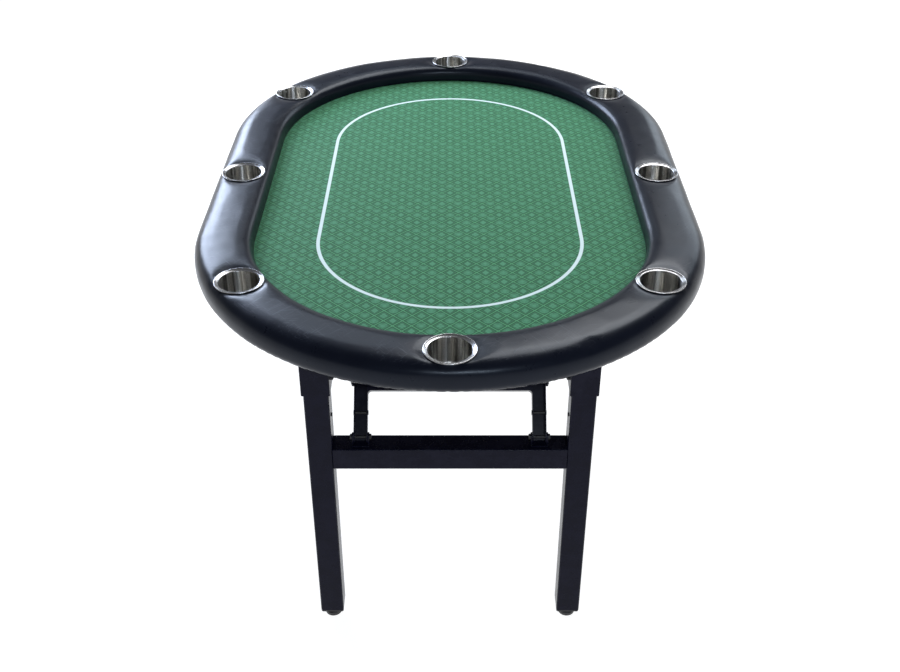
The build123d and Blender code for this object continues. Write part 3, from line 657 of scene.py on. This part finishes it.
def plan_run(points):
    """Each point's distance round the plan at the cups' path, and its radius."""
    end = np.abs(points[:, 1]) > STRAIGHT_HALF
    centre_y = np.where(end, np.sign(points[:, 1]) * STRAIGHT_HALF, points[:, 1])
    radius = np.hypot(points[:, 0], points[:, 1] - centre_y)
    angle = np.arctan2(points[:, 1] - centre_y, points[:, 0])
    arc = math.pi * CUP_PATH
    right, far_end = 2 * STRAIGHT_HALF, 4 * STRAIGHT_HALF + arc
    run = np.where(points[:, 0] > 0, points[:, 1] + STRAIGHT_HALF, 3 * STRAIGHT_HALF + arc - points[:, 1])
    run = np.where(end & (points[:, 1] > 0), right + angle * CUP_PATH, run)
    run = np.where(end & (points[:, 1] < 0), far_end + (angle + math.pi) * CUP_PATH, run)
    return run, radius


def dress_vinyl(piece):
    """Puckers over the staples, gathers round the cups, and the hand-stretched unevenness of the skin."""
    points, normals = vertex_arrays(piece)
    run, radius = plan_run(points)
    random = np.random.default_rng(7)
    total = plan_length(CUP_PATH)
    spacing = total / round(total / STAPLE_SPACING)
    slot = np.floor(run / spacing).astype(int)
    count = round(total / spacing)
    shift = random.uniform(-0.22, 0.22, count) * spacing
    depth = random.uniform(0.5, 1.0, count)
    slot = np.clip(slot, 0, count - 1)
    off = run - (slot + 0.5) * spacing - shift[slot]
    groove = np.exp(-(off / PUCKER_WIDTH) ** 2) * depth[slot]
    low = COVER_LOW.z
    outside = radius > RAIL_OUTER - 0.045
    reach = np.clip(1 - (points[:, 2] - low) / PUCKER_HEIGHT, 0, 1) ** 1.3 * outside
    move = -PUCKER_DEPTH * groove * reach

    far, _, angle = from_cups(points)
    on_top = points[:, 2] > COVER_HIGH.z - 0.01
    gathers = np.sin(angle * 31 + 2.1 * np.sin(angle * 5)) * np.sin(angle * 12 + 1.3)
    near_lip = np.exp(-np.clip(far - CUP_LIP, 0, 1) / GATHER_REACH) * on_top
    move += GATHER_DEPTH * gathers * near_lip

    swell = [noise.noise(Vector(p) * 9.0) + 0.5 * noise.noise(Vector(p) * 23.0) for p in points]
    seam = np.clip((points[:, 2] - low) / 0.01, 0, 1) * np.clip((far - CUP_LIP) / 0.02, 0, 1)
    foot = np.clip((points[:, 2] - RAIL_FOOT) / 0.012, 0, 1) + (radius > RAIL_INNER + 0.03)
    move += SWELL_DEPTH * np.array(swell) * seam * np.clip(foot, 0, 1)
    points += normals * move[:, None]
    piece.data.vertices.foreach_set("co", points.ravel())
    piece.data.update()


def rail_vinyl(material):
    """The rail's stretched vinyl cover."""
    points, faces, row_of, rim, rows = rail_grid(0.0)
    points = settle_round_cups(points, 0.0)
    piece = mesh_object("rail_vinyl", points, faces)
    far, _, _ = from_cups(points)
    on_top = points[:, 2] > COVER_HIGH.z - 0.01
    pinned = (row_of < 1) | (row_of > rows - 4) | rim | (on_top & (far < CUP_LIP + 0.002))
    inflate(piece, pinned)
    smoother = piece.modifiers.new("round", "SUBSURF")
    smoother.levels = smoother.render_levels = 1
    apply_modifiers(piece)
    dress_vinyl(piece)
    shell = piece.modifiers.new("thickness", "SOLIDIFY")
    shell.thickness = VINYL_THICKNESS
    shell.offset = -1
    apply_modifiers(piece)
    paint(piece, material)
    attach(piece, "top")
    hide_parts("rail_cover")


def rail_foam(material):
    """The foam under the vinyl, a little inside it."""
    points, faces, *_ = rail_grid(FOAM_INSET)
    points = settle_round_cups(points, FOAM_INSET)
    piece = mesh_object("rail_foam_ring", points, faces)
    shell = piece.modifiers.new("thickness", "SOLIDIFY")
    shell.thickness = FOAM_THICKNESS
    shell.offset = -1
    apply_modifiers(piece)
    paint(piece, material)
    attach(piece, "top")
    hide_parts("rail_foam")


# ---- Playfield ----


def plan_slab(name, radius, bottom, top, edge):
    """A closed level panel of the table's plan shape, with a softly rounded rim."""
    columns, rings = SLAB_COLUMNS, SLAB_RINGS
    frames = plan_frames(columns, radius)
    centre, outward = frames[:, 0:2], frames[:, 2:4]
    # (share of the radius, height) from the middle of the top, over the rim, to the middle of the bottom
    profile = [(k / rings * (radius - edge) / radius, top) for k in range(1, rings + 1)]
    profile += [((radius - edge + edge * math.sin(a)) / radius, top - edge + edge * math.cos(a))
                for a in (math.pi / 8, math.pi / 4, 3 * math.pi / 8, math.pi / 2)]
    profile += [(1.0, bottom), ((radius - edge) / radius, bottom), (0.5, bottom)]
    points = []
    for share, height in profile:
        ring = centre * min(1.0, share) + outward * radius * share
        points += [(x, y, height) for x, y in ring]
    faces = []
    for j in range(len(profile) - 1):
        for k in range(columns):
            after = (k + 1) % columns
            upper, lower = j * columns, (j + 1) * columns
            faces.append((upper + k, lower + k, lower + after, upper + after))
    last = (len(profile) - 1) * columns
    points += [(0, 0, top), (0, 0, bottom)]
    for k in range(columns):
        after = (k + 1) % columns
        faces.append((len(points) - 2, k, after))
        faces.append((len(points) - 1, last + after, last + k))
    return mesh_object(name, points, faces)


def playfield(cloth_material, foam):
    radius = CLOTH_HIGH.x
    cloth = plan_slab("playfield_cloth", radius, CLOTH_LOW.z, CLOTH_HIGH.z, CLOTH_EDGE_ROUND)
    paint(cloth, cloth_material)
    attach(cloth, "top")
    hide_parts("speed_cloth")
    pad = plan_slab("playfield_foam", PAD_HIGH.x, PAD_LOW.z, PAD_HIGH.z, PAD_EDGE_ROUND)
    paint(pad, foam)
    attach(pad, "top")
    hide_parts("playfield_pad")


# ---- Cup holders ----


def lathe(name, profile, segments):
    """A solid of revolution about its own Z, from (radius, height) points whose ends lie on the axis."""
    points, faces = [(0, 0, profile[0][1])], []
    for radius, height in profile[1:-1]:
        for k in range(segments):
            angle = 2 * math.pi * k / segments
            points.append((radius * math.cos(angle), radius * math.sin(angle), height))
    points.append((0, 0, profile[-1][1]))
    rings = len(profile) - 2
    for k in range(segments):
        after = (k + 1) % segments
        faces.append((0, 1 + k, 1 + after))
        for j in range(rings - 1):
            a, b = 1 + j * segments, 1 + (j + 1) * segments
            faces.append((a + k, b + k, b + after, a + after))
        last = 1 + (rings - 1) * segments
        faces.append((len(points) - 1, last + after, last + k))
    return mesh_object(name, points, faces)


def cup_profile(low, high):
    """(radius, height) from the middle of the cup's floor, up the wall, over the lip and down outside."""
    wall, body, turn = CUP_WALL, CUP_BODY, CUP_FOOT_ROUND
    floor = low + wall
    line = [(0.0, floor + 0.0008), (0.012, floor + 0.0008), (0.018, floor + 0.0005)]
    line += [(0.024, floor), (0.034, floor)]
    inner = body - wall
    line += [(inner - turn + turn * math.sin(a), floor + turn - turn * math.cos(a))
             for a in np.linspace(0.0, math.pi / 2, 8)]
    line += [(inner, floor + share * (high - floor - 0.004)) for share in (0.35, 0.7, 1.0)]
    # The wall rolls out to a flange that rises gently to a bead at its edge
    roll, bead = CUP_ROLL, CUP_BEAD
    line += [(inner + roll - roll * math.cos(a), high - 0.0034 + roll * math.sin(a))
             for a in np.linspace(0.25, 1.38, 6)]
    edge = CUP_LIP - bead
    line += [(edge + bead * math.sin(a), high - bead + bead * math.cos(a))
             for a in np.linspace(-0.95, 2.6, 14)]
    line += [(body + 0.0015, high - 0.0030), (body, high - 0.0040), (body, low + 0.006)]
    line += [(body - 0.006 + 0.006 * math.cos(a), low + 0.006 - 0.006 * math.sin(a))
             for a in np.linspace(0.25, math.pi / 2, 5)]
    line += [(0.024, low), (0.0, low + 0.0002)]
    return line


def cup_holders(wall_material, lip):
    low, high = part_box(CUPS[0])
    profile = cup_profile(low.z, high.z)
    for number, (cup, (x, y)) in enumerate(zip(CUPS, cup_centres()), start=1):
        piece = lathe(f"cup_{number}", profile, CUP_SEGMENTS)
        piece.location = (x, y, 0)
        piece.rotation_euler = (0, 0, math.radians(CUP_TURN * number))
        paint(piece, wall_material, lip)
        for face in piece.data.polygons:
            if face.center.z > high.z - LIP_HEIGHT:
                face.material_index = 1
        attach(piece, "top")
        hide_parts(cup)


# ---- Carried-over CAD parts ----


# How far each part's edges are rounded: one part in a leg frame, or one on each side of it
SIDE_EDGES = {"post": 0.0006, "brace_arm": 0.0006, "leg_bracket": 0.0004,
              "upper_link": 0.0005, "foot": 0.0004}
FRAME_EDGES = {"crossbar": 0.0006, "brace_cross_tube": 0.0006,
               "crossbar_brackets": 0.0003, "end_plugs": 0.0005}
WELD_DISTANCE = 0.00002
SHARP_ANGLE = 40


def soften(node, width):
    """Round a CAD part's sharp edges by a bevel that shows, and shade it smooth."""
    piece = frame["nodes"][node]
    weld = piece.modifiers.new("weld", "WELD")
    weld.merge_threshold = WELD_DISTANCE
    bevel = piece.modifiers.new("edges", "BEVEL")
    bevel.width = width
    bevel.segments = 2
    bevel.limit_method = "ANGLE"
    bevel.angle_limit = math.radians(SHARP_ANGLE)
    bevel.harden_normals = False
    piece.data.polygons.foreach_set("use_smooth", [True] * len(piece.data.polygons))
    normals = piece.modifiers.new("normals", "WEIGHTED_NORMAL")
    normals.keep_sharp = False


def dress_cad_parts(materials):
    finish = {row["node"]: row["material_slot"] for row in frame["record"]["subparts"]}
    for node, piece in frame["nodes"].items():
        paint(piece, materials[finish[node]])
    for end in ENDS:
        for side in SIDES:
            for part, width in SIDE_EDGES.items():
                soften(f"{end}_{side}_{part}", width)
        for part, width in FRAME_EDGES.items():
            soften(f"{end}_{part}", width)


# ---- Studio ----


ZENITH_GREY = 0.12
FLOOR_GLOW = 0.9
FLOOR_SIZE = 30
HAZE = (0.03, 0.30)  # where the backdrop starts and stops dimming, as a share of the way to overhead
LENS = 46.25
CAMERA_BACK = 2.502
CAMERA_RISE = 1.219  # over the cloth
CAMERA_SLOPE = 33.37  # degrees below level
COOL = (0.80, 0.90, 1.0)

# Each softbox: its name, middle, aim, width and height, radiance and tint
SOFTBOXES = (
    ("left_back_softbox", (-1.85, 2.40, 1.92), (-0.49, -0.1, 0.76), (1.5, 1.3), 18.5, (0.70, 0.80, 1.0)),
    ("right_back_softbox", (1.85, 2.50, 1.75), (0.49, 0.0, 0.76), (1.5, 1.1), 3.3, COOL),
    ("back_softbox", (-0.7, 2.6, 2.95), (-0.2, -0.7, 0.76), (1.5, 1.0), 2.4, COOL),
    ("front_strip", (0.42, -3.8, 3.0), (0.0, -0.78, 0.74), (1.4, 0.25), 42.0, COOL),
    ("top_softbox", (1.0, 2.1, 3.9), (0.0, 0.7, 0.72), (2.2, 2.2), 9.0, (1.0, 1.0, 1.0)),
)


def softbox(name, place, aim, size, radiance, tint):
    data = bpy.data.lights.new(name, "AREA")
    data.shape = "RECTANGLE"
    data.size, data.size_y = size
    data.energy = radiance * math.pi * size[0] * size[1]
    data.color = tint
    light = bpy.data.objects.new(name, data)
    bpy.context.scene.collection.objects.link(light)
    light.location = place
    light.rotation_euler = (Vector(aim) - Vector(place)).to_track_quat("-Z", "Y").to_euler()


def studio():
    world = bpy.data.worlds.new("studio")
    bpy.context.scene.world = world
    world.use_nodes = True
    tree = world.node_tree
    # White at the horizon, dim overhead
    point = tree.nodes.new("ShaderNodeTexCoord")
    split = tree.nodes.new("ShaderNodeSeparateXYZ")
    fade = tree.nodes.new("ShaderNodeMapRange")
    fade.interpolation_type = "SMOOTHSTEP"
    for key, value in zip(("From Min", "From Max", "To Min", "To Max"), (*HAZE, 1.0, ZENITH_GREY)):
        fade.inputs[key].default_value = value
    tree.links.new(point.outputs["Generated"], split.inputs[0])
    tree.links.new(split.outputs["Z"], fade.inputs["Value"])
    background = tree.nodes["Background"]
    background.inputs["Color"].default_value = (0.97, 0.985, 1.0, 1.0)
    tree.links.new(fade.outputs["Result"], background.inputs["Strength"])
    for box in SOFTBOXES:
        softbox(*box)
    bpy.ops.mesh.primitive_plane_add(size=FLOOR_SIZE)
    floor = bpy.context.object
    floor.name = "studio_floor"
    paint(floor, floor_material())


def camera():
    """At the photo's viewing angle, from beyond the table's near end."""
    data = bpy.data.cameras.new("camera")
    data.lens = LENS
    data.sensor_width = 36.0
    data.clip_end = 60
    view = bpy.data.objects.new("camera", data)
    bpy.context.scene.collection.objects.link(view)
    view.location = (0.0, -CAMERA_BACK, CLOTH_HIGH.z + CAMERA_RISE)
    view.rotation_euler = (math.radians(90 - CAMERA_SLOPE), 0, 0)
    bpy.context.scene.camera = view


# ---- Everything ----


camera()
studio()
bpy.context.scene.view_settings.view_transform = "Standard"

MATERIALS = {
    "plywood": plywood_material(),
    "foam": foam_material(),
    "speed_cloth": speed_cloth_material(),
    "black_vinyl": vinyl_material(),
    "stainless": stainless_material(),
    "powder_coat": powder_coat_material(),
    "black_screws": black_oxide_material(),
    "zinc_screws": zinc_material(),
    "black_plastic": plastic_material(),
}
dress_cad_parts(MATERIALS)
rail_vinyl(MATERIALS["black_vinyl"])
rail_foam(MATERIALS["foam"])
playfield(MATERIALS["speed_cloth"], MATERIALS["foam"])
cup_holders(MATERIALS["stainless"], lip_material())
